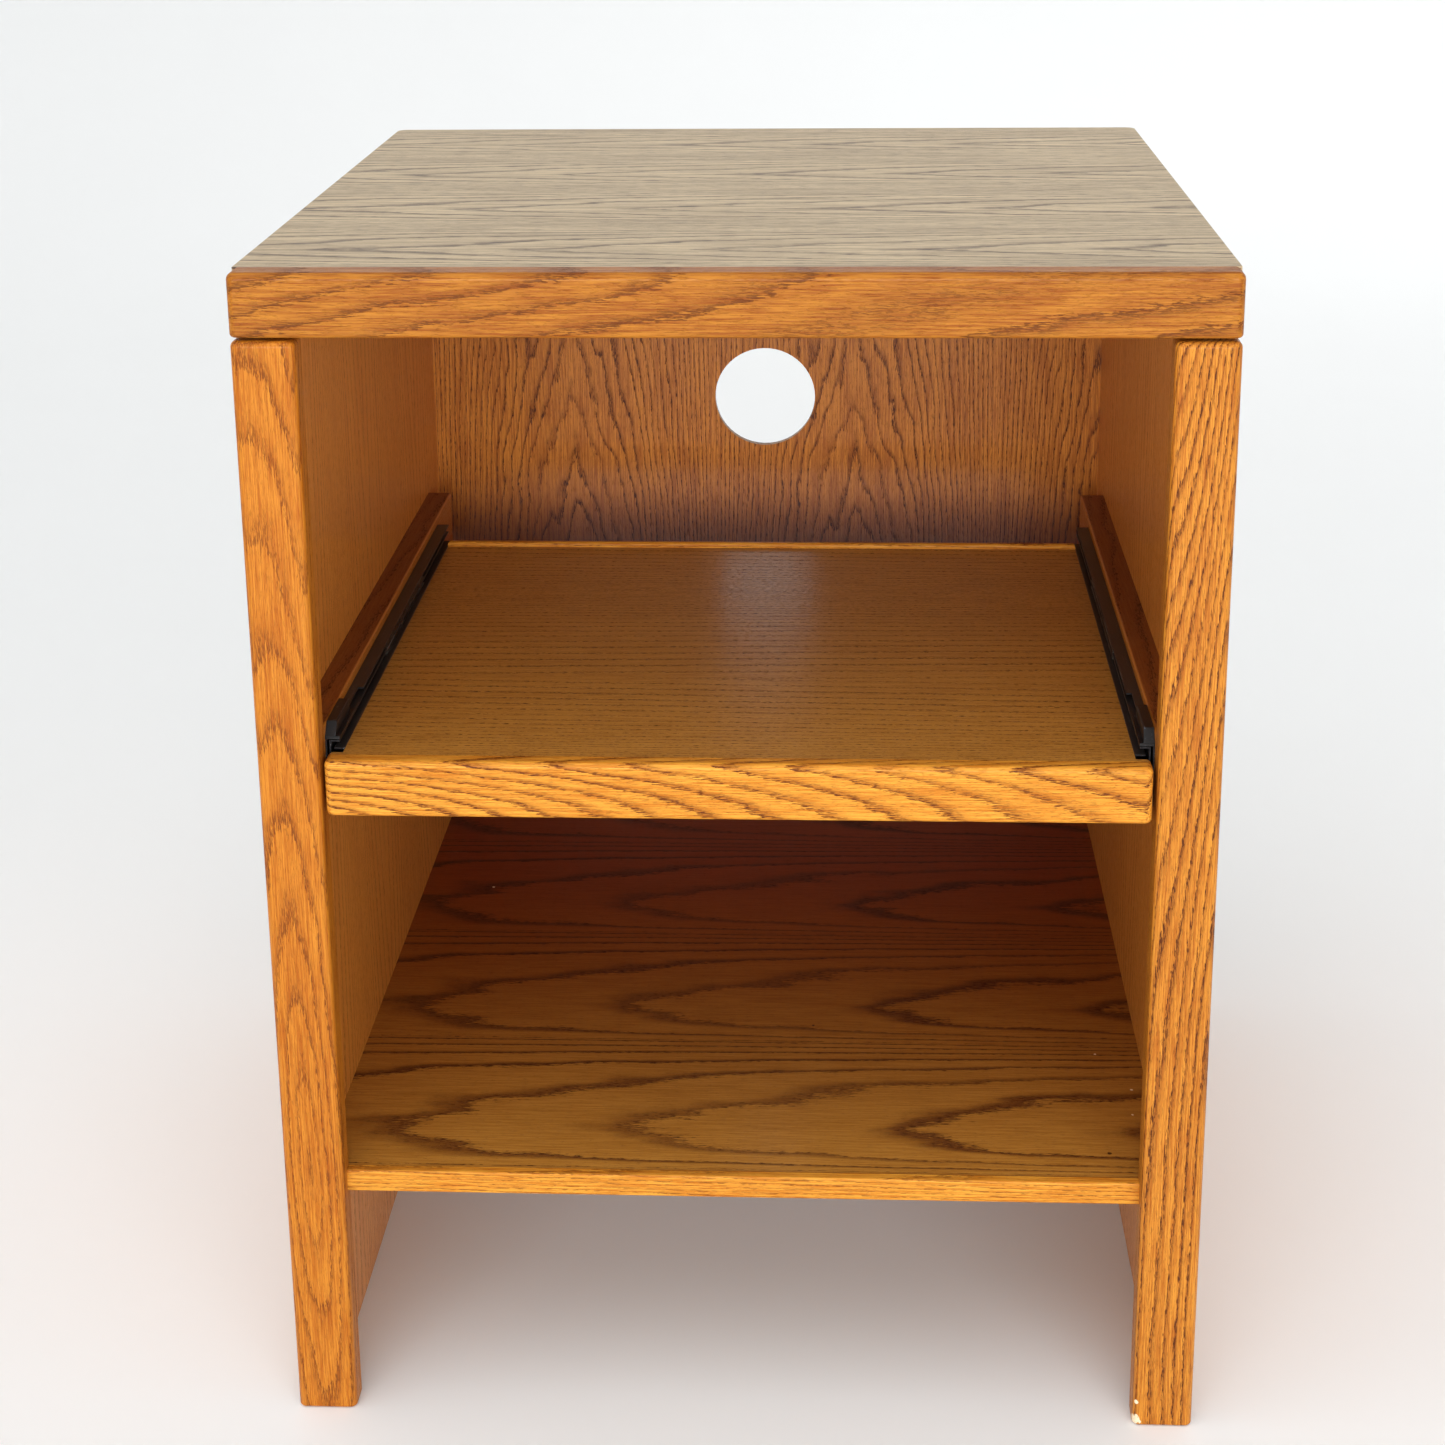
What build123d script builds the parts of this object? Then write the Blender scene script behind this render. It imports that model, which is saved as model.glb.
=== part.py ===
from build123d import *
import math
import os

# Media cabinet: an open oak cabinet with a thick laminate top, a pull-out shelf on ball slides and a fixed
# lower shelf. Millimetres, +Z up, the front faces -Y. The origin is on the floor at the middle of the plan.

# ---- driving dimensions ----
width = 610.0
depth = 610.0
side_height = 754.0
top_thick = 40.0

board = 19.0  # side panels, spacers and cleats
post_width = 40.0
post_depth = 19.0
post_gap = 2.0  # shadow gap between a post and the top
post_round = 5.0
post_top_round = 4.0
post_foot_round = 2.0
side_inset = 2.0  # the side panels stand back from the outer faces of the posts

laminate = 1.0
band_depth = 20.0
band_end_round = 5.0
band_upper_round = 4.5
band_lower_round = 2.5
top_corner = 8.0

back_thick = 6.4
back_rabbet = 9.5
hole_radius = 42.5
hole_height = 566.0

shelf_top = 178.0
shelf_thick = 16.0
shelf_dado = 6.0
shelf_setback = 12.0
shelf_strip = 7.0
shelf_strip_round = 1.5

pull_top = 479.0
pull_board = 18.0
pull_veneer = 0.8
pull_back = 457.0
pull_back_strip = 6.0
pull_back_lip = 4.0  # the back strip stands this much above the shelf, as a stop
pull_back_round = 2.4
rail_height = 38.0
rail_depth = 19.0
rail_gap = 2.7
rail_round = 5.0
rail_back_round = 3.0
rail_upper_round = 4.0
rail_lower_round = 3.0
rail_veneer_lap = 7.0
runner_width = 20.0
runner_lift = 2.0  # the runners' undersides are this much above the rail's
tongue = 4.0  # the veneer and the rail overlap by this much before the lap is cut

slide_thick = 12.7
slide_height = 45.0
slide_length = 457.0
slide_start = 22.0
slide_metal = 1.2
slide_middle = 466.5  # height of the slides' centre line
spacer_top = 494.5
spacer_bottom = 430.0
spacer_end = 552.0
spacer_arris = 2.0
cleat_start = 100.0
cleat_end = 520.0
cleat_chamfer = 2.0

dowel_radius = 4.0
dowel_length = 40.0
dowel_in_post = 14.0
nail_head_radius = 1.5
nail_head_thick = 0.8
nail_radius = 0.7

# ---- places worked out from them ----
front = -depth / 2
half = width / 2
panel_out = half - side_inset
panel_in = panel_out - board
post_in = half - post_width
spacer_in = panel_in - board
pull_half = spacer_in - slide_thick
rail_half = post_in - rail_gap
total_height = side_height + top_thick
cleat_in = panel_in - board
shelf_under = shelf_top - shelf_thick
back_face = depth - back_thick
pull_under = pull_top - pull_veneer - pull_board
rail_bottom = pull_top - rail_height


def block(x0, x1, y0, y1, z0, z1):
    """A box between two corners. y is measured back from the cabinet's front."""
    middle = ((x0 + x1) / 2, front + (y0 + y1) / 2, (z0 + z1) / 2)
    return Pos(*middle) * Box(abs(x1 - x0), abs(y1 - y0), abs(z1 - z0))


def along(part, axis):
    return part.edges().filter_by(axis)


def front_edges(part, axis):
    """The edges along an axis that lie in the part's front plane."""
    return along(part, axis).group_by(Axis.Y)[0]


def round_end(part, end, behind, radius):
    """Rounds the edges at an upright piece's top (-1) or bottom (0), except those behind a given depth."""
    edges = part.edges().group_by(Axis.Z)[end]
    return fillet(edges.filter_by(lambda edge: edge.center().Y < front + behind), radius)


def nearest_middle(part):
    """The edge along Y that is nearest the cabinet's middle plane."""
    return part.sort_by(lambda edge: abs(edge.center().X))[0]


def place(part, point, direction):
    """Moves a part whose own axis is -Z so that it points along direction from point."""
    x, y, z = point
    away = [-value for value in direction]
    return Plane(origin=(x, front + y, z), z_dir=away).location * part


def countersunk_screw(length, shank=3.6, head=7.4, head_depth=2.6):
    """A flat-head wood screw, its head's face at z = 0, pointing down: without and with its cross recess."""
    cone = Pos(0, 0, -head_depth / 2) * Cone(shank / 2, head / 2, head_depth)
    stem = Pos(0, 0, -(head_depth + length) / 2) * Cylinder(shank / 2, length - head_depth)
    slots = Box(head * 0.55, head * 0.13, head_depth * 0.7) + Box(head * 0.13, head * 0.55, head_depth * 0.7)
    plain = cone + stem
    return plain, plain - slots


def brad(length=19.0):
    """A small flat-head nail, its head's face at z = 0, pointing down."""
    head = Pos(0, 0, -nail_head_thick / 2) * Cylinder(nail_head_radius, nail_head_thick)
    return head + Pos(0, 0, -length / 2) * Cylinder(nail_radius, length)


def spread(first, last, count):
    """Evenly spaced places from first to last."""
    return [first + (last - first) * i / (count - 1) for i in range(count)]


def cut(part, fasteners):
    """Cuts each fastener's hole from a board. A fastener is a pair: the solid of its hole, and itself."""
    for hole, _ in fasteners:
        part = part - hole
    return part


def group(fasteners):
    return Compound([solid for _, solid in fasteners])


nodes = {}


# ---- top ----
def make_top():
    inner = half - laminate
    core = block(-inner, inner, band_depth, depth - laminate, side_height, total_height - laminate)
    core = fillet(along(core, Axis.Z).group_by(Axis.Y)[-1], top_corner - laminate)

    sheet = block(-half, half, band_depth, depth, total_height - laminate, total_height)
    sheet = fillet(along(sheet, Axis.Z).group_by(Axis.Y)[-1], top_corner)

    edging = block(-half, half, band_depth, depth, side_height, total_height - laminate)
    edging = fillet(along(edging, Axis.Z).group_by(Axis.Y)[-1], top_corner) - core

    band = block(-half, half, 0, band_depth, side_height, total_height)
    band = fillet(front_edges(band, Axis.Z), band_end_round)
    lower = band.edges().group_by(Axis.Z)[0].group_by(Axis.Y)
    band = fillet(lower[0] + lower[1], band_lower_round)
    upper = band.edges().group_by(Axis.Z)[-1].group_by(Axis.Y)
    band = fillet(upper[0] + upper[1], band_upper_round)

    nodes["top_core"] = core
    nodes["top_laminate"] = sheet
    nodes["top_edging"] = edging
    nodes["top_front_band"] = band


# ---- fasteners of the fixed frame ----
def screw_row(length, points, direction, **sizes):
    plain, finished = countersunk_screw(length, **sizes)
    return [(place(plain, point, direction), place(finished, point, direction)) for point in points]


def make_frame_fasteners():
    """Screws, nails and dowels of the fixed frame, each list ready to be cut from the boards it joins."""
    rows = {}
    cleat_ys = spread(cleat_start + 40, cleat_end - 40, 3)
    spacer_ys = spread(60, spacer_end - 40, 4)
    slide_ys = spread(slide_start + 110, slide_start + slide_length - 40, 3)
    cleat_z = side_height - board / 2
    spacer_z = spacer_top - 9
    stagger = 12.0  # the cleat's upright and sideways screws miss each other by twice this
    dowel = Rot(90, 0, 0) * chamfer(Cylinder(dowel_radius, dowel_length).edges(), 0.8)
    dowel_y = front + post_depth - dowel_in_post + dowel_length / 2
    rows["top_cleat_screws"] = []
    rows["spacer_screws"] = []
    rows["slide_screws"] = []
    rows["post_dowels"] = []
    for side in (-1, 1):
        out = (side, 0, 0)
        through = [(side * cleat_in, y + stagger, cleat_z) for y in cleat_ys]
        rows["top_cleat_screws"] += screw_row(32, through, out)
        cleat_mid = side * (panel_in - board / 2)
        up = [(cleat_mid, y - stagger, side_height - board) for y in cleat_ys]
        rows["top_cleat_screws"] += screw_row(38, up, (0, 0, 1))
        spacer_face = [(side * spacer_in, y, spacer_bottom + 7) for y in spacer_ys]
        rows["spacer_screws"] += screw_row(32, spacer_face, out)
        web = [(side * (spacer_in - slide_metal), y, slide_middle) for y in slide_ys]
        rows["slide_screws"] += screw_row(16, web, out, head=6.4, head_depth=slide_metal)
        for z in spread(70, side_height - 70, 5):
            placed = Pos(side * (panel_out - board / 2), dowel_y, z) * dowel
            rows["post_dowels"].append((placed, placed))
    nail_x = panel_in + back_rabbet / 2
    nail_zs = spread(shelf_top + 12, side_height - 20, 7)
    nails = [(side * nail_x, depth, z) for side in (-1, 1) for z in nail_zs]
    nails += [(x, depth, shelf_top - shelf_thick / 2) for x in spread(-240, 240, 5)]
    placed = [place(brad(), point, (0, -1, 0)) for point in nails]
    rows["back_panel_nails"] = [(nail, nail) for nail in placed]
    return rows


# ---- sides, posts, back and lower shelf ----
def make_side_panel(side):
    """A side board with a rabbet for the back and a dado for the lower shelf."""
    inner = side * panel_in
    panel = block(inner, side * panel_out, post_depth, depth, 0, side_height)
    rabbet_in = side * (panel_in + back_rabbet)
    panel -= block(inner, rabbet_in, back_face, depth, shelf_under, side_height)
    dado_in = side * (panel_in + shelf_dado)
    return panel - block(inner, dado_in, post_depth, back_face, shelf_under, shelf_top)


def make_post(side):
    """A solid front post, rounded where it shows."""
    post = block(side * post_in, side * half, 0, post_depth, 0, side_height - post_gap)
    post = fillet(front_edges(post, Axis.Z), post_round)
    post = round_end(post, -1, post_depth - 1, post_top_round)
    return round_end(post, 0, post_depth - 1, post_foot_round)


def make_frame():
    rows = make_frame_fasteners()
    for side, name in ((-1, "left"), (1, "right")):
        spacer = block(side * spacer_in, side * panel_in, post_depth, spacer_end, spacer_bottom, spacer_top)
        arris = nearest_middle(along(spacer, Axis.Y).group_by(Axis.Z)[-1])
        spacer = fillet(arris, spacer_arris)
        cleat = block(
            side * cleat_in, side * panel_in, cleat_start, cleat_end, side_height - board, side_height
        )
        lower_inner = nearest_middle(along(cleat, Axis.Y).group_by(Axis.Z)[0])
        cleat = chamfer(lower_inner, cleat_chamfer)

        panel = make_side_panel(side)
        panel = cut(panel, rows["post_dowels"] + rows["top_cleat_screws"] + rows["spacer_screws"])
        panel = cut(panel, rows["back_panel_nails"])
        nodes[f"{name}_side_panel"] = panel
        nodes[f"{name}_front_post"] = cut(make_post(side), rows["post_dowels"])
        nodes[f"{name}_spacer"] = cut(spacer, rows["spacer_screws"] + rows["slide_screws"])
        nodes[f"{name}_top_cleat"] = cut(cleat, rows["top_cleat_screws"])

    nodes["top_core"] = cut(nodes["top_core"], rows["top_cleat_screws"])
    back_half = panel_in + back_rabbet
    back = block(-back_half, back_half, back_face, depth, shelf_under, side_height)
    bore = Rot(90, 0, 0) * Cylinder(hole_radius, back_thick * 2)
    back -= Pos(0, front + depth - back_thick / 2, hole_height) * bore
    nodes["back_panel"] = cut(back, rows["back_panel_nails"])

    dado_half = panel_in + shelf_dado
    shelf = block(-dado_half, dado_half, post_depth, back_face, shelf_under, shelf_top)
    nodes["lower_shelf"] = cut(shelf, rows["back_panel_nails"])
    strip_back = shelf_setback + shelf_strip
    strip = block(-post_in, post_in, shelf_setback, strip_back, shelf_under, shelf_top)
    nodes["lower_shelf_strip"] = fillet(front_edges(strip, Axis.X), shelf_strip_round)
    for name, fasteners in rows.items():
        nodes[name] = group(fasteners)
    return rows


# ---- pull-out shelf ----
def make_pull_out():
    board_back = pull_back - pull_back_strip
    under = pull_under
    runner_bottom = rail_bottom + runner_lift
    panel = block(-pull_half, pull_half, rail_depth, board_back, under, pull_top - pull_veneer)
    strip = block(-pull_half, pull_half, board_back, pull_back, under, pull_top + pull_back_lip)
    strip = fillet(strip.edges().group_by(Axis.Z)[-1], pull_back_round)

    rail = block(-rail_half, rail_half, 0, rail_depth, rail_bottom, pull_top)
    rail = fillet(front_edges(rail, Axis.Z), rail_round)
    rail = fillet(along(rail, Axis.Z).group_by(Axis.Y)[-1], rail_back_round)
    rail = round_end(rail, -1, rail_depth - rail_back_round - 1, rail_upper_round)
    rail = round_end(rail, 0, rail_depth - rail_back_round - 1, rail_lower_round)
    lap = block(
        -width, width, rail_depth - rail_veneer_lap, rail_depth + 1, pull_top - pull_veneer, pull_top + 1
    )
    veneer = rail & lap
    veneer += block(-pull_half, pull_half, rail_depth - tongue, board_back, pull_top - pull_veneer, pull_top)
    rail -= lap

    runner_screws = []
    runners = {}
    for side, name in ((-1, "left"), (1, "right")):
        runner = block(
            side * (pull_half - runner_width), side * pull_half, rail_depth, pull_back, runner_bottom, under
        )
        inner = nearest_middle(along(runner, Axis.Y).group_by(Axis.Z)[0])
        runners[f"pull_out_{name}_runner"] = chamfer(inner, 3.0)
        x = side * (pull_half - runner_width + 7)
        under_points = [(x, y, runner_bottom) for y in spread(80, pull_back - 60, 4)]
        runner_screws += screw_row(28, under_points, (0, 0, 1))
    rail_points = [(x, rail_depth + 14, under) for x in spread(-200, 200, 5)]
    pocket = (0, -math.sin(math.radians(50)), math.sin(math.radians(40)))
    rail_screws = screw_row(22, rail_points, pocket, head=6.4)

    drawer_screws = []
    for side in (-1, 1):
        screw_ys = spread(60, pull_back - 45, 4)
        web = [(side * (pull_half + slide_metal), y, slide_middle) for y in screw_ys]
        drawer_screws += screw_row(12, web, (-side, 0, 0), shank=3.2, head=5.4, head_depth=slide_metal)

    nodes["pull_out_panel"] = cut(panel, runner_screws + rail_screws + drawer_screws)
    nodes["pull_out_veneer"] = veneer
    nodes["pull_out_back_strip"] = strip
    nodes["pull_out_front_rail"] = cut(rail, rail_screws)
    for name, runner in runners.items():
        nodes[name] = cut(runner, runner_screws)
    nodes["pull_out_screws"] = group(runner_screws + rail_screws)
    nodes["drawer_member_screws"] = group(drawer_screws)
    return drawer_screws


# ---- ball slides ----
outer_web = (0.0, slide_metal)
outer_flange_reach = 9.4
middle_web = (2.6, 3.8)
middle_half = 18.1
middle_reach = 9.6
drawer_web = (slide_thick - slide_metal, slide_thick)
drawer_half = pull_top - slide_middle + 0.5
drawer_reach = 5.6
outer_ball = 1.25
inner_ball = 1.6
outer_ball_height = (slide_height / 2 - slide_metal + middle_half) / 2
inner_ball_height = (middle_half - slide_metal + drawer_half) / 2
outer_cage_web = (1.6, 2.1)
inner_cage_web = (4.2, 4.7)
cage_start = 192.0  # at full extension the outer balls still stop short of the guide cap
cage_length = 160.0
ball_pitch = 25.0
flange_notch = 52.0  # how far back the cabinet member's upper flange starts, to clear the guide cap
flange_step = 84.0  # the upper flange is narrow up to here
flange_narrow = 5.8
cap_length = 48.0
cap_thick = 7.0
cap_nose = 8.0  # the slope of the guide cap's front end


def slide_block(side, u0, u1, y0, y1, z0, z1):
    """A box in a slide. u is measured inward from the spacer's face and z from the slide's centre line."""
    outer_x = side * (spacer_in - u0)
    inner_x = side * (spacer_in - u1)
    return block(outer_x, inner_x, y0, y1, slide_middle + z0, slide_middle + z1)


def channel(side, web, flange_from, flange_to, half_height, y0, y1):
    """A pressed channel: an upright web with a flange along its top and its bottom."""
    part = slide_block(side, web[0], web[1], y0, y1, -half_height, half_height)
    for sign in (-1, 1):
        part += slide_block(
            side, flange_from, flange_to, y0, y1, sign * half_height, sign * (half_height - slide_metal)
        )
    return part


def ball_cage(side, web, reach, height, radius):
    """A cage strip with two lips, and the balls it holds."""
    end = cage_start + cage_length
    lip = 0.6
    cage = slide_block(side, web[0], web[1], cage_start, end, -height - lip / 2, height + lip / 2)
    for sign in (-1, 1):
        cage += slide_block(
            side, web[0], reach, cage_start, end, sign * height - lip / 2, sign * height + lip / 2
        )
    ball_u = reach - radius - 0.5
    x = side * (spacer_in - ball_u)
    count = int(cage_length / ball_pitch)
    ys = spread(cage_start + ball_pitch / 2, end - ball_pitch / 2, count)
    spots = [Pos(x, front + y, slide_middle + sign * height) for y in ys for sign in (-1, 1)]
    for spot in spots:
        cage -= spot * Sphere(radius + 0.05)
    return cage, Compound([spot * Sphere(radius) for spot in spots])


def guide_cap(side):
    """The black moulded cap over a slide's front: a hood above the members, an upright by the spacer."""
    low = middle_half + 0.6
    high = spacer_top - slide_middle + 0.4
    cap_end = slide_start + cap_length
    hood = slide_block(side, 0, middle_reach + 0.3, slide_start, cap_end + 2, low, low + 2.0)
    upright = slide_block(side, 0, cap_thick, slide_start, cap_end, low, high)
    ends = along(upright, Axis.X).group_by(Axis.Z)[-1]
    upright = chamfer(ends.sort_by(Axis.Y)[0], cap_nose)
    inner_arris = nearest_middle(along(upright, Axis.Y).group_by(Axis.Z)[-1])
    upright = chamfer(inner_arris, 0.8)
    return hood + upright


def make_slides(rows, drawer_screws):
    back_end = slide_start + slide_length
    for side, name in ((-1, "left"), (1, "right")):
        outer = channel(side, outer_web, 0, outer_flange_reach, slide_height / 2, slide_start, back_end)
        outer -= slide_block(side, -1, 10, 0, slide_start + flange_notch, middle_half + 0.3, slide_height)
        outer -= slide_block(side, flange_narrow, 10, 0, slide_start + flange_step, middle_half, slide_height)
        middle_end = back_end - 4
        middle = channel(side, middle_web, middle_web[0], middle_reach, middle_half, slide_start, middle_end)
        drawer_end = pull_back + 8
        drawer = channel(side, drawer_web, drawer_reach, slide_thick, drawer_half, slide_start, drawer_end)
        outer_cage, outer_balls = ball_cage(
            side, outer_cage_web, outer_flange_reach, outer_ball_height, outer_ball
        )
        inner_cage, inner_balls = ball_cage(
            side, inner_cage_web, middle_reach, inner_ball_height, inner_ball
        )
        nodes[f"{name}_slide_cabinet_member"] = cut(outer, rows["slide_screws"])
        nodes[f"{name}_slide_middle_member"] = middle
        nodes[f"{name}_slide_drawer_member"] = cut(drawer, drawer_screws)
        nodes[f"{name}_slide_outer_cage"] = outer_cage
        nodes[f"{name}_slide_outer_balls"] = outer_balls
        nodes[f"{name}_slide_inner_cage"] = inner_cage
        nodes[f"{name}_slide_inner_balls"] = inner_balls
        nodes[f"{name}_slide_guide_cap"] = guide_cap(side)


make_top()
frame_rows = make_frame()
drawer_rows = make_pull_out()
make_slides(frame_rows, drawer_rows)

os.makedirs("parts", exist_ok=True)
for name, shape in nodes.items():
    export_step(shape, f"parts/{name}.step")
print(len(nodes), "nodes")
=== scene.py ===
import math
from dataclasses import dataclass

import bmesh
import bpy
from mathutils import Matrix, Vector


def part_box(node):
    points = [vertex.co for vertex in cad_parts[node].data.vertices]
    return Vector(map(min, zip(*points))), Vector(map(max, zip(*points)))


# The looks of a media cabinet. The CAD parts keep their places and shapes. This script gives every one of
# them its material, and adds a floor, light and a camera. Lengths are metres, but millimetres in materials.

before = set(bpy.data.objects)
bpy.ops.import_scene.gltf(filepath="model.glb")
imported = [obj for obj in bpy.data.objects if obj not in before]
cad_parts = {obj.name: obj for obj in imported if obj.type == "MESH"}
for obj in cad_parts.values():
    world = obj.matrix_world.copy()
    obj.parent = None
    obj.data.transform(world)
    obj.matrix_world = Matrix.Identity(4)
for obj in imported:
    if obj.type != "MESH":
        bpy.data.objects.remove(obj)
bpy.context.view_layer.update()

MILLIMETRES = 1000.0


def srgb(red, green, blue):
    """A colour given as three numbers from 0 to 255, in the linear form that a shader takes."""
    linear = [((c / 255 + 0.055) / 1.055) ** 2.4 if c > 10 else c / 255 / 12.92 for c in (red, green, blue)]
    return (*linear, 1.0)


def box_mm(node):
    """A CAD node's lowest and highest corners, in millimetres."""
    low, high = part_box(node)
    return low * MILLIMETRES, high * MILLIMETRES


# ---- a short way to write materials ----
class Value:
    """A number that varies over a surface, with ordinary arithmetic."""

    def __init__(self, finish, socket):
        self.finish = finish
        self.socket = socket

    def math(self, operation, *others):
        return self.finish.math(operation, self, *others)

    def __add__(self, other):
        return self.math("ADD", other)

    def __sub__(self, other):
        return self.math("SUBTRACT", other)

    def __rsub__(self, other):
        return self.finish.math("SUBTRACT", other, self)

    def __mul__(self, other):
        return self.math("MULTIPLY", other)

    def __truediv__(self, other):
        return self.math("DIVIDE", other)

    def __pow__(self, other):
        return self.math("POWER", other)

    __radd__ = __add__

    def step(self, start, end, low=0.0, high=1.0):
        """Goes smoothly from low to high as this number goes from start to end."""
        sockets = {0: self, 1: start, 2: end, 3: low, 4: high}
        made = self.finish.node("MapRange", sockets, interpolation_type="SMOOTHSTEP")
        return Value(self.finish, made.outputs[0])

    def clamp(self):
        made = self.finish.node("Clamp", {0: self})
        return Value(self.finish, made.outputs[0])


class Finish:
    """One material, built from nodes. x, y and z are the place on the object, in millimetres."""

    def __init__(self, name):
        self.material = bpy.data.materials.new(name)
        self.material.use_nodes = True
        self.tree = self.material.node_tree
        self.tree.nodes.clear()
        place = self.node("TexCoord")
        scaled = self.node("VectorMath", {0: place.outputs["Object"], 3: MILLIMETRES}, operation="SCALE")
        self.x, self.y, self.z = self.split(scaled.outputs[0])
        self.facing = self.split(place.outputs["Normal"])

    def node(self, kind, sockets=None, **settings):
        made = self.tree.nodes.new("ShaderNode" + kind)
        for key, value in settings.items():
            setattr(made, key, value)
        for key, value in (sockets or {}).items():
            if isinstance(value, Value):
                value = value.socket
            if isinstance(value, bpy.types.NodeSocket):
                self.tree.links.new(value, made.inputs[key])
            else:
                made.inputs[key].default_value = value
        return made

    def math(self, operation, *values):
        made = self.node("Math", dict(enumerate(values)), operation=operation)
        return Value(self, made.outputs[0])

    def split(self, vector):
        made = self.node("SeparateXYZ", {0: vector})
        return [Value(self, output) for output in made.outputs]

    def noise(self, a, b, c=0.0, detail=2.0, roughness=0.5):
        place = self.node("CombineXYZ", {0: a, 1: b, 2: c})
        sockets = {"Vector": place.outputs[0], "Scale": 1.0, "Detail": detail, "Roughness": roughness}
        made = self.node("TexNoise", sockets)
        return Value(self, made.outputs[0])

    def cells(self, a, b, c, size):
        """A random number for each cell of a crumbled solid."""
        place = self.node("CombineXYZ", {0: a / size, 1: b / size, 2: c / size})
        made = self.node("TexVoronoi", {"Vector": place.outputs[0], "Scale": 1.0})
        return self.split(made.outputs["Color"])[0]

    def mix(self, share, first, second):
        """The first colour, turning into the second as share goes from 0 to 1."""
        made = self.node("Mix", {0: share, 6: first, 7: second}, data_type="RGBA")
        return made.outputs[2]

    def shade(self, colour, roughness, height=None, depth=0.1, **constants):
        """Ends the material: one shader, whose constants go straight on its own sockets."""
        sockets = {"Base Color": colour, "Roughness": roughness, **constants}
        if height is not None:
            bump = self.node("Bump", {"Height": height, "Distance": depth / MILLIMETRES, "Strength": 1.0})
            sockets["Normal"] = bump.outputs[0]
        if "Coat Weight" in constants:
            sockets["Coat Normal"] = bump.outputs[0]
        shader = self.node("BsdfPrincipled", sockets)
        self.node("OutputMaterial", {"Surface": shader.outputs[0]})
        return self.material


# ---- oak ----
@dataclass
class Tone:
    """The colours of one piece of oak, from its pale latewood to its dark pores."""

    pale: tuple
    deep: tuple
    ring: tuple
    pore: tuple


HONEY = Tone(srgb(214, 140, 48), srgb(172, 94, 24), srgb(132, 64, 14), srgb(92, 42, 8))
AMBER = Tone(srgb(208, 131, 40), srgb(172, 90, 17), srgb(147, 70, 15), srgb(100, 44, 10))
COPPER = Tone(srgb(187, 119, 36), srgb(146, 76, 14), srgb(122, 60, 12), srgb(78, 34, 8))
GOLDEN = Tone(srgb(232, 162, 58), srgb(196, 114, 26), srgb(156, 80, 14), srgb(106, 50, 8))
TAWNY = Tone(srgb(240, 158, 66), srgb(216, 132, 48), srgb(170, 96, 30), srgb(112, 56, 18))
BROWN = Tone(srgb(224, 144, 52), srgb(176, 98, 28), srgb(142, 74, 16), srgb(92, 42, 6))
OLIVE = Tone(srgb(194, 136, 56), srgb(168, 110, 38), srgb(104, 52, 14), srgb(78, 36, 8))
RED_BROWN = Tone(srgb(142, 78, 32), srgb(124, 62, 24), srgb(106, 44, 14), srgb(66, 26, 8))
GREY_PRINT = Tone(srgb(226, 202, 162), srgb(162, 138, 106), srgb(118, 92, 68), srgb(80, 58, 44))


@dataclass
class Sawn:
    """A solid piece's cut. The tree's pith runs past it from start to end.

    Each is (across, deep) from the piece's middle. axes names the ways along, across and deep.
    """

    axes: str
    start: tuple
    end: tuple
    ring: float  # one ring's width
    bend: float = 1.0  # above 1, the pith keeps near its start for longer
    wander: float = 5.0


@dataclass
class Sliced:
    """A veneer's cut: leaves side by side, each with a column of arches a tip's length apart."""

    axes: str
    leaf: float  # a leaf's width
    first: float  # where the first leaf starts
    middle: float  # where the arches stand in a leaf, as a share of its width
    tip: float  # from one arch's tip to the next
    slip: float = 0.0  # how far each leaf is moved along from the one before
    rings: tuple = (1.7, 3.8)  # evenly spread rings, and rings crowded at a leaf's edge
    near_side: float = 1.0  # the share of those rings on the side before the arches' middle
    sway: float = 30.0
    phase: float = 0.0
    crowding: float = 5.0


@dataclass
class Grain:
    """How the grain shows: the strength of pores and rings, a pore's size, and each ring's dark share."""

    pores: float = 1.0
    rings: float = 1.0
    long: float = 6.0
    wide: float = 0.75
    spread: float = 0.55


PLAIN = Grain()


def sawn_rings(f, cut, s, t, h, length):
    """The count of growth rings out from the pith, at each point of a solid piece."""
    share = (s / length + 0.5).clamp() ** cut.bend
    across = t - (share * (cut.end[0] - cut.start[0]) + cut.start[0])
    deep = h - (share * (cut.end[1] - cut.start[1]) + cut.start[1])
    wander = (f.noise(s / 130, t / 40, h / 40) - 0.5) * cut.wander
    ripple = (f.noise(s / 22, t / 5, h / 5) - 0.5) * cut.wander * 0.22
    radius = (across * across + deep * deep) ** 0.5 + wander + ripple
    return radius / cut.ring


FIRST_RING = 40.0  # the count at a leaf's middle


def sliced_rings(f, cut, s, t):
    """The count of rings over a veneered face: arches in mid leaf, straight lines at a leaf's edges."""
    place = (t - cut.first) / cut.leaf
    leaf = place.math("FLOOR")
    inside = place - leaf - cut.middle
    side = inside.step(-0.001, 0.001)
    back = (inside / (1 - cut.middle)).math("MAXIMUM", 0.0)
    near = (inside / -cut.middle).math("MAXIMUM", 0.0)
    limb = back + near
    straight, crowded = cut.rings
    count = limb * straight + limb**cut.crowding * crowded
    count = count * (side * (1 - cut.near_side) + cut.near_side)
    shift = leaf * cut.slip + cut.phase
    local = inside * cut.leaf
    sway = (f.noise((s + shift) / 75, local / 24, leaf * 0.07 + 3.3, detail=3.0) - 0.5) * cut.sway * 2.2
    reach = 1 - limb**3
    return count - (s + shift + sway) * reach / cut.tip + FIRST_RING


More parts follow.
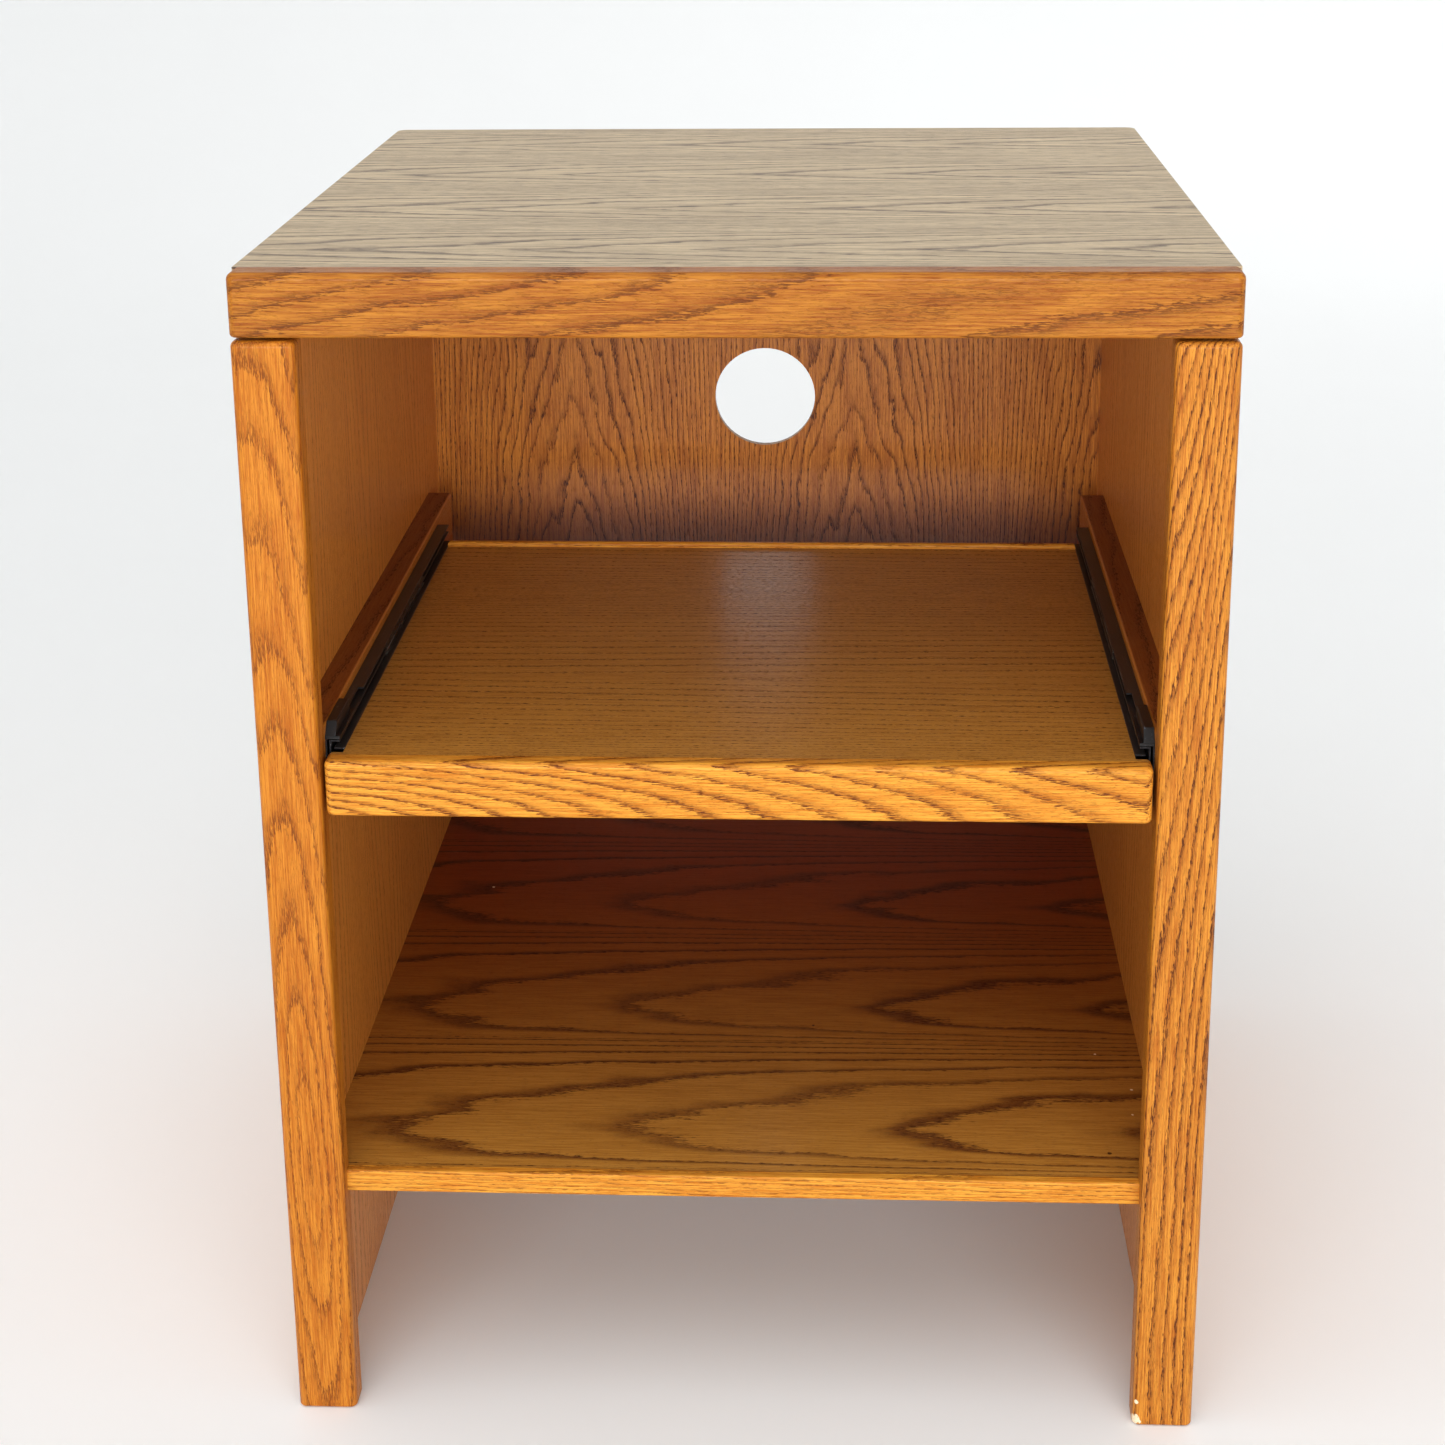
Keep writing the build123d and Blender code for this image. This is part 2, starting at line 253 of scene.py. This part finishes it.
def oak_coat(f, rings, s, t, h, tone, grain):
    """Colour, roughness and height of a lacquered oak face, from its count of rings.

    tick gives the short dark pores, fibre the long fine streaks and cloud the broad shading. Pores crowd in
    each ring's early wood, and weight makes some rings bolder than others.
    """
    long, wide = grain.long, grain.wide
    tick = f.noise(s / long, t / wide, h / wide, detail=2.0, roughness=0.6)
    fibre = f.noise(s / (long * 6), t / (wide * 1.6), h / (wide * 1.6) + 9.7, detail=3.0, roughness=0.75)
    cloud = f.noise(s / 150, t / 22, h / 22, detail=3.0)
    ragged = rings + (tick - 0.5) * grain.spread + (fibre - 0.5) * 0.3
    whole = ragged.math("FLOOR")
    part = ragged - whole
    weight = f.noise(whole * 0.37, 4.1, 0.3).step(0.3, 0.6, 0.65, 1.0)
    early = part.step(grain.spread, 0.1) * part.step(0.0, 0.06) * weight
    pore = (tick + early * 0.11).step(0.58, 0.65)
    body = f.mix((cloud * 0.9 + fibre * 4 - 2.0).clamp(), tone.pale, tone.deep)
    body = f.mix(early * (0.42 * grain.rings), body, tone.ring)
    colour = f.mix(pore * (0.22 + early * 0.6) * grain.pores, body, tone.pore)
    roughness = 0.34 + pore * 0.16 + fibre * 0.12
    return colour, roughness, pore * -1.0 + fibre * 0.6


def grain_places(f, axes, middle):
    """The places along the grain, across the face and into the piece, from its middle."""
    places = {"x": f.x - middle[0], "y": f.y - middle[1], "z": f.z - middle[2]}
    return [places[letter] for letter in axes]


def marks(f, colour, spots, paint):
    """Small ragged marks, such as chips and dried specks. Each spot is its place and its radius."""
    for place, size in spots:
        gaps = [f.x - place[0], f.y - place[1], f.z - place[2]]
        away = (gaps[0] * gaps[0] + gaps[1] * gaps[1] + gaps[2] * gaps[2]) ** 0.5
        ragged = away + (f.noise(f.x / 2, f.y / 2, f.z / 3, detail=3.0) - 0.5) * size * 1.6
        colour = f.mix(ragged.step(size, size * 0.8), colour, paint)
    return colour


BARE = srgb(248, 226, 190)
LACQUER = {"Coat Weight": 0.4, "Coat Roughness": 0.14, "Specular IOR Level": 0.25}
SATIN = {"Coat Weight": 0.16, "Coat Roughness": 0.18, "Specular IOR Level": 0.12}


def solid_oak(node, cut, tone, grain=PLAIN, chips=(), lit_flank=None):
    """A solid piece. If a side colour is given, faces looking along x turn to it: painted light, paler than
    the top.
    """
    low, high = box_mm(node)
    f = Finish(node)
    s, t, h = grain_places(f, cut.axes, (low + high) / 2)
    length = (high - low)["xyz".index(cut.axes[0])]
    rings = sawn_rings(f, cut, s, t, h, length)
    colour, roughness, height = oak_coat(f, rings, s, t, h, tone, grain)
    if lit_flank is not None:
        colour = f.mix(f.facing[0].math("ABSOLUTE").step(0.1, 0.8) * 0.6, colour, lit_flank)
    colour = marks(f, colour, chips, BARE)
    return f.shade(colour, roughness, height, 0.12, **SATIN)


def board_core(f):
    """The pressed chips that show on a raw board edge: colour and height."""
    warp = f.noise(f.x / 6, f.y / 6, f.z / 6, detail=3.0)
    flake = f.cells(f.x + warp * 5, f.y + warp * 5, f.z + warp * 5, 2.6)
    dust = f.noise(f.x / 1.1, f.y / 1.1, f.z / 1.1, detail=3.0)
    colour = f.mix(flake, srgb(190, 152, 106), srgb(146, 108, 68))
    colour = f.mix(dust.step(0.55, 0.72), colour, srgb(108, 76, 46))
    return colour, flake * 0.5 + dust


@dataclass
class PaintedShade:
    """Painted shade on a face: a darkening tint that grows from start to end along an axis."""

    tint: tuple
    axis: str
    start: float
    end: float


def veneered(
    name, cut, tone, faces, grain=PLAIN, rear=None, painted_shade=None, specks=(), spots=(), relief=0.08
):
    """A board with veneer on the faces that look along one axis and raw core on its edges.

    With rear, the face that looks that way along the axis is raw too.
    """
    f = Finish(name)
    s, t, h = grain_places(f, cut.axes, (0, 0, 0))
    rings = sliced_rings(f, cut, s, t)
    colour, roughness, height = oak_coat(f, rings, s, t, h * 0, tone, grain)
    # painted shade: the colour is multiplied by a darker tint that grows along one axis, standing in for
    # shadow
    if painted_shade is not None:
        painted_shadow = getattr(f, painted_shade.axis).step(painted_shade.start, painted_shade.end)
        sockets = {0: painted_shadow, 6: colour, 7: painted_shade.tint}
        darker = f.node("Mix", sockets, data_type="RGBA", blend_type="MULTIPLY")
        colour = darker.outputs[2]
    colour = marks(f, colour, specks, BARE)
    colour = marks(f, colour, spots, tone.pore)
    core, crumbs = board_core(f)
    direction = f.facing["xyz".index(faces)]
    flat = direction.math("ABSOLUTE") if rear is None else direction * -rear
    on_face = flat.step(0.6, 0.8)
    colour = f.mix(on_face, core, colour)
    rough = on_face * (roughness - 0.75) + 0.75
    bumps = on_face * (height - crumbs * 2) + crumbs * 2
    return f.shade(colour, rough, bumps, relief, **LACQUER)


def printed_laminate(name, edge=False):
    """Plastic laminate with an oak print: grey-brown streaks along x, or along the slab's edge."""
    f = Finish(name)
    closer = 3  # the grain lines on the edge are this much closer together
    s, t = (f.x + f.y, f.z * closer) if edge else (f.x, f.y)
    cut = Sliced("xyz", leaf=148, first=-292, middle=0.42, tip=120, slip=61, rings=(3.0, 8.5), sway=46)
    rings = sliced_rings(f, cut, s, t)
    print_grain = Grain(pores=2.6, rings=1.25, long=16.0, wide=0.7, spread=0.4)
    colour, _, mark = oak_coat(f, rings, s, t, f.z * 0.0, GREY_PRINT, print_grain)
    orange_peel = f.noise(f.x / 0.8, f.y / 0.8, f.z / 0.8)
    roughness = 0.4 + orange_peel * 0.12
    return f.shade(colour, roughness, orange_peel + mark * 0.6, 0.04, IOR=1.47)


def raw_board(name):
    f = Finish(name)
    colour, height = board_core(f)
    return f.shade(colour, 0.78, height, 0.15)


# ---- metal and plastic ----
def black_steel(name):
    """Black coated steel, rubbed grey along its edges where the balls and the cap run."""
    f = Finish(name)
    scuff = f.noise(f.x / 3, f.y / 60, f.z / 3, detail=4.0, roughness=0.65)
    speck = f.noise(f.x / 0.7, f.y / 2, f.z / 0.7, detail=2.0)
    worn = (scuff + speck * 0.25).step(0.7, 0.9)
    colour = f.mix(worn, srgb(34, 33, 36), srgb(128, 126, 124))
    colour = f.mix(f.facing[2].step(0.5, 0.9) * (scuff * 0.6 + 0.1), colour, srgb(72, 64, 58))
    return f.shade(colour, 0.34 + scuff * 0.16, speck, 0.02, Metallic=0.4)


def zinc_steel(name, base=srgb(176, 176, 172)):
    f = Finish(name)
    cloud = f.noise(f.x / 14, f.y / 14, f.z / 14, detail=3.0)
    fine = f.noise(f.x / 0.5, f.y / 6, f.z / 0.5, detail=2.0)
    colour = f.mix(cloud.step(0.35, 0.65), base, srgb(138, 136, 128))
    return f.shade(colour, 0.26 + fine * 0.2, fine, 0.02, Metallic=1.0)


def ball_steel(name):
    f = Finish(name)
    fine = f.noise(f.x, f.y, f.z)
    return f.shade(f.mix(fine, srgb(212, 212, 214), srgb(190, 190, 194)), 0.12 + fine * 0.06, Metallic=1.0)


def black_plastic(name):
    """Moulded black plastic, with pale scratches on its corners."""
    f = Finish(name)
    skin = f.noise(f.x / 0.6, f.y / 0.6, f.z / 0.6)
    scuff = f.noise(f.x / 2.2, f.y / 9, f.z / 2.2, detail=4.0, roughness=0.7)
    colour = f.mix(scuff.step(0.6, 0.76), srgb(10, 10, 12), srgb(88, 94, 104))
    return f.shade(colour, 0.36 + skin * 0.2, skin, 0.04)


def beech(name):
    f = Finish(name)
    fibre = f.noise(f.x / 0.8, f.y / 20, f.z / 0.8, detail=3.0)
    return f.shade(f.mix(fibre, srgb(216, 176, 128), srgb(190, 146, 98)), 0.6, fibre, 0.05)


# ---- which material each CAD piece gets ----
def paint(node, material):
    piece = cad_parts[node]
    piece.data.materials.clear()
    piece.data.materials.append(material)


def soften_edges(node, width):
    """A fine bevel that catches the light along a piece's sharp edges."""
    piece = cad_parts[node]
    weld = piece.modifiers.new("weld", "WELD")
    weld.merge_threshold = 0.00001
    bevel = piece.modifiers.new("bevel", "BEVEL")
    bevel.width = width / MILLIMETRES
    bevel.segments = 2
    bevel.limit_method = "ANGLE"
    bevel.angle_limit = math.radians(50)
    bevel.harden_normals = True


def dress_top():
    paint("top_laminate", printed_laminate("printed_laminate"))
    paint("top_edging", printed_laminate("printed_laminate_edge", edge=True))
    paint("top_core", raw_board("top_core_board"))
    band = Sawn("xzy", start=(-90, 6), end=(40, 12), ring=17.0, wander=26.0)
    paint("top_front_band", solid_oak("top_front_band", band, COPPER, Grain(pores=0.8, rings=0.9)))


def dress_frame():
    left = Sawn("zxy", start=(2, -27), end=(-12, 41), ring=5.5, wander=8.0)
    calm = Grain(pores=0.9, rings=0.8, wide=0.6)
    paint("left_front_post", solid_oak("left_front_post", left, AMBER, calm))
    right = Sawn("zxy", start=(-26, 46), end=(-21, 8), ring=3.2, bend=2.6, wander=3.0)
    low, _ = box_mm("right_front_post")
    arris = low[0] + 1
    chips = [((arris, low[1] + 1, 4), 4.5), ((arris + 1, low[1] + 1, 18), 1.8), ((arris, low[1], 560), 1.2)]
    dense = Grain(pores=1.6, rings=1.5, wide=0.6)
    paint("right_front_post", solid_oak("right_front_post", right, HONEY, dense, chips))
    for side in ("left", "right"):
        panel = Sliced(
            "zyx", leaf=210, first=-330, middle=0.5, tip=160, slip=70, rings=(7.0, 8.0), sway=24, phase=-380
        )
        faint = Grain(pores=0.7, rings=0.4)
        paint(f"{side}_side_panel", veneered(f"{side}_side_panel", panel, TAWNY, "x", faint))
        spacer = Sawn("yzx", start=(-60, 20), end=(-66, 26), ring=3.0)
        # painted light and shade: the spacer's top keeps the dark red-brown, and its sides looking along x
        # are painted paler
        paint(f"{side}_spacer", solid_oak(f"{side}_spacer", spacer, RED_BROWN, lit_flank=srgb(214, 132, 44)))
        cleat = Sawn("yzx", start=(-30, 14), end=(-36, 10), ring=2.6)
        paint(f"{side}_top_cleat", solid_oak(f"{side}_top_cleat", cleat, BROWN))
    back = Sliced(
        "zxy",
        leaf=241,
        first=-285.5,
        middle=0.5,
        tip=-52,
        slip=4,
        rings=(5.0, 13.0),
        sway=70,
        phase=-571,
        crowding=2.2,
    )
    fine = Grain(pores=1.5, rings=1.6, wide=0.7, spread=0.4)
    # painted shadow of the pull-out: the back panel is darkened from 530 mm down to 440 mm and below
    pull_out_shadow = PaintedShade((0.42, 0.32, 0.26, 1), "z", start=530, end=440)
    paint("back_panel", veneered("back_panel", back, BROWN, "y", fine, rear=1, painted_shade=pull_out_shadow))
    shelf = Sliced(
        "xyz", leaf=175, first=-284, middle=0.31, tip=180, slip=14, near_side=0.38, sway=70, phase=62
    )
    # painted shade: the lower shelf is darkened and reddened towards its back, deep in the shaded
    # compartment
    painted_shadow = PaintedShade((0.5, 0.15, 0.06, 1), "y", start=-330, end=230)
    bold = Grain(pores=1.3, rings=2.2, spread=0.36)
    shelf_face = box_mm("lower_shelf")[1][2]
    dried = (((-226, 147), 1.3), ((252, -121), 1.0), ((273, -171), 1.1), ((270, -205), 1.1))
    specks = [((*place, shelf_face), size) for place, size in dried]
    spots = [((*place, shelf_face), size) for place, size in (((46, -84), 1.2), ((249, -256), 1.6))]
    made = veneered("lower_shelf", shelf, OLIVE, "z", bold, painted_shade=painted_shadow, specks=specks, spots=spots)
    paint("lower_shelf", made)
    strip = Sawn("xzy", start=(-40, 5), end=(-48, 9), ring=3.0)
    paint("lower_shelf_strip", solid_oak("lower_shelf_strip", strip, GOLDEN, Grain(pores=0.8)))


def dress_pull_out():
    rail = Sawn("xzy", start=(-22, -6), end=(-25, 70), ring=5.0, bend=0.8, wander=4.0)
    bold = Grain(pores=1.5, rings=1.5, wide=0.6)
    paint("pull_out_front_rail", solid_oak("pull_out_front_rail", rail, GOLDEN, bold))
    leaf = Sliced("xyz", leaf=330, first=-300, middle=0.45, tip=400, rings=(14.0, 10.0), sway=40)
    faint = Grain(pores=1.3, rings=0.1, long=4.0, wide=0.7, spread=0.4)
    paint("pull_out_veneer", veneered("pull_out_veneer", leaf, OLIVE, "z", faint, relief=0.2))
    strip = Sawn("xzy", start=(-30, 6), end=(-36, 9), ring=3.0)
    paint("pull_out_back_strip", solid_oak("pull_out_back_strip", strip, GOLDEN))
    paint("pull_out_panel", raw_board("pull_out_core_board"))
    for side in ("left", "right"):
        runner = Sawn("yzx", start=(-30, 14), end=(-36, 10), ring=2.6)
        node = f"pull_out_{side}_runner"
        paint(node, solid_oak(node, runner, BROWN))


def dress_hardware():
    steel = black_steel("black_coated_steel")
    zinc = zinc_steel("zinc_plated_steel")
    balls = ball_steel("bearing_steel")
    plastic = black_plastic("black_moulded_plastic")
    screw = zinc_steel("screw_steel", srgb(206, 190, 146))
    for side in ("left", "right"):
        for member in ("cabinet", "middle", "drawer"):
            paint(f"{side}_slide_{member}_member", steel)
            soften_edges(f"{side}_slide_{member}_member", 0.35)
        for row in ("outer", "inner"):
            paint(f"{side}_slide_{row}_cage", zinc)
            paint(f"{side}_slide_{row}_balls", balls)
        paint(f"{side}_slide_guide_cap", plastic)
        soften_edges(f"{side}_slide_guide_cap", 0.5)
    for node in ("top_cleat_screws", "spacer_screws", "pull_out_screws", "back_panel_nails"):
        paint(node, screw)
    for node in ("slide_screws", "drawer_member_screws"):
        paint(node, zinc)
    paint("post_dowels", beech("beech"))


# ---- floor, light and camera ----
def make_stage():
    """A pale floor that curves up into a wall all the way round, like a wide dish."""
    flat, curve, top = 3.4, 1.2, 4.2
    bend = [math.radians(angle) for angle in range(0, 91, 9)]
    profile = [(0.0, 0.0), (flat * 0.5, 0.0)]
    profile += [(flat + curve * math.sin(a), curve - curve * math.cos(a)) for a in bend]
    profile.append((flat + curve, top))
    shape = bmesh.new()
    points = [shape.verts.new((radius, 0.0, height)) for radius, height in profile]
    for first, second in zip(points, points[1:]):
        shape.edges.new((first, second))
    outline = shape.verts[:] + shape.edges[:]
    bmesh.ops.spin(shape, geom=outline, cent=(0, 0, 0), axis=(0, 0, 1), angle=math.tau, steps=96)
    bmesh.ops.remove_doubles(shape, verts=shape.verts[:], dist=0.0005)
    bmesh.ops.recalc_face_normals(shape, faces=shape.faces[:])
    mesh = bpy.data.meshes.new("studio_floor")
    shape.to_mesh(mesh)
    shape.free()
    mesh.polygons.foreach_set("use_smooth", [True] * len(mesh.polygons))
    floor = bpy.data.objects.new("studio_floor", mesh)
    floor.location = (0, 0, -0.0002)  # just clear of the posts' feet
    bpy.context.scene.collection.objects.link(floor)
    f = Finish("studio_floor")
    paper = f.noise(f.x / 400, f.y / 400, f.z / 400)
    colour = f.mix(paper, (0.90, 0.91, 0.912, 1), (0.88, 0.89, 0.892, 1))
    mesh.materials.append(f.shade(colour, 0.8 + paper * 0.1))


def area_light(name, place, target, size, power):
    data = bpy.data.lights.new(name, "AREA")
    data.shape = "RECTANGLE"
    data.size, data.size_y = size
    data.energy = power
    lamp = bpy.data.objects.new(name, data)
    lamp.location = place
    lamp.rotation_euler = (Vector(target) - Vector(place)).to_track_quat("-Z", "Y").to_euler()
    lamp.visible_camera = False
    bpy.context.scene.collection.objects.link(lamp)


def soft_sun(name, direction, strength):
    """Light from one side of the sky, with very soft shadows."""
    data = bpy.data.lights.new(name, "SUN")
    data.energy = strength
    data.angle = math.radians(70)
    lamp = bpy.data.objects.new(name, data)
    lamp.rotation_euler = Vector(direction).to_track_quat("Z", "Y").to_euler()
    bpy.context.scene.collection.objects.link(lamp)


def make_lights():
    world = bpy.data.worlds.new("studio")
    world.use_nodes = True
    background = world.node_tree.nodes["Background"]
    background.inputs[0].default_value = (1.0, 0.995, 0.99, 1)
    background.inputs[1].default_value = 0.48
    bpy.context.scene.world = world
    height = 0.98
    area_light("front_window", (0.1, -3.0, height), target=(0.1, 0, height), size=(4.0, 0.9), power=72)
    soft_sun("skylight", direction=(-0.25, -0.5, 1.0), strength=1.3)


def make_camera():
    data = bpy.data.cameras.new("camera")
    data.sensor_width = 36.0
    data.lens = 61.871
    data.shift_y = -0.1699
    camera = bpy.data.objects.new("camera", data)
    camera.location = (0.068897, -1.757085, 1.084916)
    camera.rotation_euler = [math.radians(angle) for angle in (73.9954, 0.5935, 2.7839)]
    bpy.context.scene.collection.objects.link(camera)
    bpy.context.scene.camera = camera


bpy.context.scene.view_settings.view_transform = "Standard"
dress_top()
dress_frame()
dress_pull_out()
dress_hardware()
make_stage()
make_lights()
make_camera()
